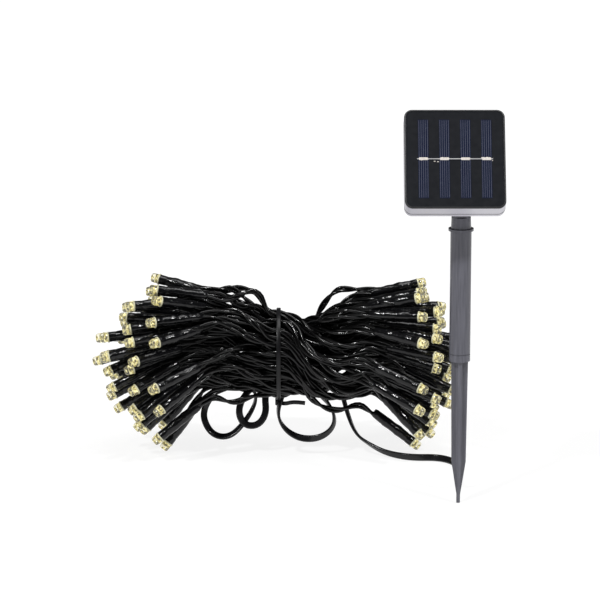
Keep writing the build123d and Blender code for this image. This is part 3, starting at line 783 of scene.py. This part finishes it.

# ------------------------------------------------------------------ finishes of the machined pieces
# The stake is grey moulded plastic with darker and lighter streaks along its length, the housing is frosted
# grey with a black printed edge round the face, and each other slot has its own cloudy finish.
streaky = Finish("stake_plastic_finish", (0.10, 0.096, 0.114), 0.42)
# Noise stretched along the stake makes the grey darker and lighter in long bands along its length.
streak = streaky.noise(90.0, 5.0, (9.0, 9.0, 0.5))
mottle = streaky.noise(700.0)
streaky.paint({"Base Color": streaky.mix(streak, (0.040, 0.040, 0.052), (0.150, 0.150, 0.180))})
streaky.paint({"Roughness": 0.24 + 0.16 * mottle})
streaky.bump(mottle, 0.0003, 0.25)


def plain(name, dark, light, roughness, scale=300.0, **surface):
    """A moulded or plated finish: two close shades clouded together, with a little roughness of its own."""
    finish = Finish(f"{name}_finish", dark, roughness, **surface)
    cloud = finish.noise(scale)
    finish.paint({"Base Color": finish.mix(cloud, dark, light)})
    finish.paint({"Roughness": roughness - 0.06 + 0.12 * cloud})
    finish.bump(cloud, 0.0002, 0.2)
    return finish


# the front shell's edge is printed black from this height over the back to the face
printed_from = 0.0205
frosted = plain("housing_plastic", (0.33, 0.32, 0.37), (0.45, 0.44, 0.49), 0.36)
own_place = frosted.node("ShaderNodeTexCoord", {}, {}, "Object")
height = frosted.node(
    "ShaderNodeVectorMath", {"operation": "DOT_PRODUCT"}, {0: own_place, 1: tuple(face_normal)}, "Value"
)
printed_edge = height - float(back_centre @ face_normal) > printed_from
frosted.paint({"Base Color": frosted.mix(printed_edge, (0.52, 0.51, 0.56), (0.010, 0.011, 0.013))})

low_gloss = {"Specular IOR Level": 0.2}
face_dark, face_light = (0.009, 0.010, 0.012), (0.014, 0.015, 0.018)
cell_dark, cell_light = (0.007, 0.009, 0.022), (0.012, 0.016, 0.036)
finishes = {
    "stake_plastic": streaky,
    "housing_plastic": frosted,
    "gasket_rubber": plain("gasket_rubber", (0.02, 0.02, 0.022), (0.035, 0.035, 0.038), 0.6),
    "solar_face": plain("solar_face", face_dark, face_light, 0.22, **low_gloss),
    "solar_cell": plain("solar_cell", cell_dark, cell_light, 0.25, **low_gloss),
    "tinned_ribbon": plain("tinned_ribbon", (0.36, 0.36, 0.38), (0.6, 0.6, 0.6), 0.36, Metallic=0.6),
    "solder": plain("solder", (0.46, 0.42, 0.38), (0.78, 0.73, 0.69), 0.35, 900.0),
    "board_laminate": plain("board_laminate", (0.01, 0.08, 0.03), (0.02, 0.12, 0.05), 0.4),
    "board_component": plain("board_component", (0.02, 0.02, 0.02), (0.05, 0.05, 0.05), 0.45),
    "cell_wrap": plain("cell_wrap", (0.02, 0.12, 0.35), (0.03, 0.17, 0.45), 0.35),
    "spring_steel": plain("spring_steel", (0.5, 0.5, 0.5), (0.7, 0.7, 0.7), 0.25, Metallic=1.0),
    "screw_steel": plain("screw_steel", (0.45, 0.45, 0.46), (0.65, 0.65, 0.66), 0.28, Metallic=1.0),
    "gland_rubber": plain("gland_rubber", (0.012, 0.012, 0.013), (0.025, 0.025, 0.027), 0.55),
    "button_rubber": plain("button_rubber", (0.03, 0.03, 0.032), (0.05, 0.05, 0.053), 0.6),
    "wire_insulation": wire_jacket,
    "tie_nylon": tie_nylon,
    "lamp_lens": clear_epoxy,
    "shrink_sleeve": shrink_tube,
    "lamp_frame": pale_rim,
}
finishes["gasket_rubber"].on(seam)
finishes["solder"].on(beads)
for node in frame["nodes"].values():
    for place in node.material_slots:
        place.material = finishes[place.material.name].material

# ------------------------------------------------------------------ floor, light
# A large white sheet that glows evenly, so that the black strands show against it with hardly a shadow,
# a dim white surround, one broad lamp overhead and two narrow ones in front that draw the thin lines on
# the jackets.
floor_half, floor_drop = 7.0, 0.0004
floor_corners = ((-1, -1), (1, -1), (1, 1), (-1, 1))
floor_points = [(floor_half * x, floor_half * y, -floor_drop) for x, y in floor_corners]
floor = add_piece("floor", floor_points, [(0, 1, 2, 3)], smooth=False)
glow = Finish("floor_glow", (0.16, 0.16, 0.16), 0.8, **{"Specular IOR Level": 0.0})
glow.paint({"Emission Color": (1.0, 1.0, 1.0, 1.0), "Emission Strength": 0.87})
glow.on(floor)
world = bpy.data.worlds.new("studio")
world.use_nodes = True
surround = world.node_tree.nodes["Background"]
surround.inputs["Color"].default_value = (1.0, 1.0, 1.0, 1.0)
surround.inputs["Strength"].default_value = 0.1
scene.world = world
scene.view_settings.view_transform = "Standard"


def soft_light(name, direction, spread, strength):
    """A distant lamp shining from a direction, as many degrees across as its spread."""
    light = bpy.data.lights.new(name, "SUN")
    light.angle = radians(spread)
    light.energy = strength
    lamp = bpy.data.objects.new(name, light)
    lamp.rotation_euler = Vector(direction).to_track_quat("Z", "Y").to_euler()
    scene.collection.objects.link(lamp)


soft_light("overhead", (0.1, -0.1, 1.0), 30.0, 1.1)
soft_light("front_left", (-0.5, -0.7, 1.0), 4.0, 1.8)
soft_light("front_right", (0.7, -0.7, 1.2), 4.0, 1.3)
